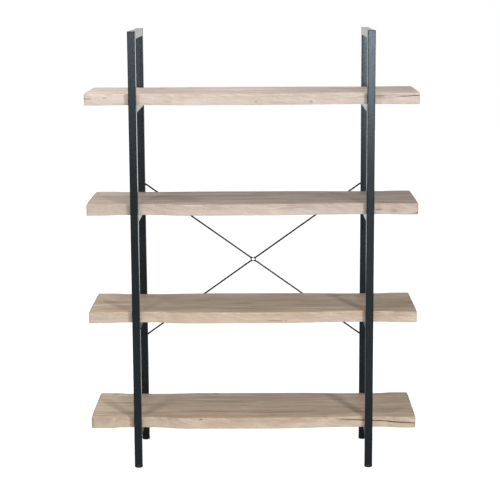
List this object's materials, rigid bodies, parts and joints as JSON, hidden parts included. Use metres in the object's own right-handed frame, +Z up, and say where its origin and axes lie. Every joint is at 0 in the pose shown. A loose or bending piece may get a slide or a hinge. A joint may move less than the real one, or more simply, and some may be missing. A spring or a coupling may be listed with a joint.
{
  "type": "bookcase",
  "caption": "Open free-standing bookcase: square-tube side frames carry thick oak shelves with uneven long edges, and a crossed rod brace with a centre ring ties the rear.",
  "frame": {"origin": "on the floor, under the middle of the whole bookcase", "axes": "+X along the shelves, to the right as seen from the front; +Y from the front to the braced rear; +Z up"},
  "size_m": [1.1, 0.3662, 1.47],
  "materials": {
    "black_powder_coat": "satin powder coat on steel tube and rod",
    "washed_oak": "pale washed oak with open grain, small cracks and knots",
    "black_nylon": "moulded, fine matt texture",
    "zinc_plated_steel": "bright zinc plating"
  },
  "bodies": {
    "frames_and_shelves": {"left_front_upright": "black_powder_coat", "left_rear_upright": "black_powder_coat", "right_front_upright": "black_powder_coat", "right_rear_upright": "black_powder_coat", "left_top_rail": "black_powder_coat", "right_top_rail": "black_powder_coat", "left_shelf_rail_1": "black_powder_coat", "left_shelf_rail_2": "black_powder_coat", "left_shelf_rail_3": "black_powder_coat", "left_shelf_rail_4": "black_powder_coat", "right_shelf_rail_1": "black_powder_coat", "right_shelf_rail_2": "black_powder_coat", "right_shelf_rail_3": "black_powder_coat", "right_shelf_rail_4": "black_powder_coat", "left_front_top_cap": "black_nylon", "left_rear_top_cap": "black_nylon", "right_front_top_cap": "black_nylon", "right_rear_top_cap": "black_nylon", "shelf_1": "washed_oak", "shelf_2": "washed_oak", "shelf_3": "washed_oak", "shelf_4": "washed_oak", "shelf_1_left_front_screw": "zinc_plated_steel", "shelf_1_left_rear_screw": "zinc_plated_steel", "shelf_1_right_front_screw": "zinc_plated_steel", "shelf_1_right_rear_screw": "zinc_plated_steel", "shelf_2_left_front_screw": "zinc_plated_steel", "shelf_2_left_rear_screw": "zinc_plated_steel", "shelf_2_right_front_screw": "zinc_plated_steel", "shelf_2_right_rear_screw": "zinc_plated_steel", "shelf_3_left_front_screw": "zinc_plated_steel", "shelf_3_left_rear_screw": "zinc_plated_steel", "shelf_3_right_front_screw": "zinc_plated_steel", "shelf_3_right_rear_screw": "zinc_plated_steel", "shelf_4_left_front_screw": "zinc_plated_steel", "shelf_4_left_rear_screw": "zinc_plated_steel", "shelf_4_right_front_screw": "zinc_plated_steel", "shelf_4_right_rear_screw": "zinc_plated_steel", "upper_left_brace_rod": "black_powder_coat", "lower_left_brace_rod": "black_powder_coat", "upper_right_brace_rod": "black_powder_coat", "lower_right_brace_rod": "black_powder_coat", "brace_ring": "black_powder_coat", "upper_left_rod_nut": "black_powder_coat", "lower_left_rod_nut": "black_powder_coat", "upper_right_rod_nut": "black_powder_coat", "lower_right_rod_nut": "black_powder_coat", "upper_left_brace_bolt": "black_powder_coat", "lower_left_brace_bolt": "black_powder_coat", "upper_right_brace_bolt": "black_powder_coat", "lower_right_brace_bolt": "black_powder_coat", "left_front_foot_plug": "black_nylon", "left_rear_foot_plug": "black_nylon", "right_front_foot_plug": "black_nylon", "right_rear_foot_plug": "black_nylon"},
    "left_front_leveller": {"left_front_foot": "black_nylon"},
    "left_rear_leveller": {"left_rear_foot": "black_nylon"},
    "right_front_leveller": {"right_front_foot": "black_nylon"},
    "right_rear_leveller": {"right_rear_foot": "black_nylon"}
  },
  "joints": [
    {"name": "left_front_levelling", "type": "slide", "parent": "frames_and_shelves", "child": "left_front_leveller", "axis": [0, 0, -1], "range_m": [0, 0.012]},
    {"name": "left_rear_levelling", "type": "slide", "parent": "frames_and_shelves", "child": "left_rear_leveller", "axis": [0, 0, -1], "range_m": [0, 0.012]},
    {"name": "right_front_levelling", "type": "slide", "parent": "frames_and_shelves", "child": "right_front_leveller", "axis": [0, 0, -1], "range_m": [0, 0.012]},
    {"name": "right_rear_levelling", "type": "slide", "parent": "frames_and_shelves", "child": "right_rear_leveller", "axis": [0, 0, -1], "range_m": [0, 0.012]}
  ]
}
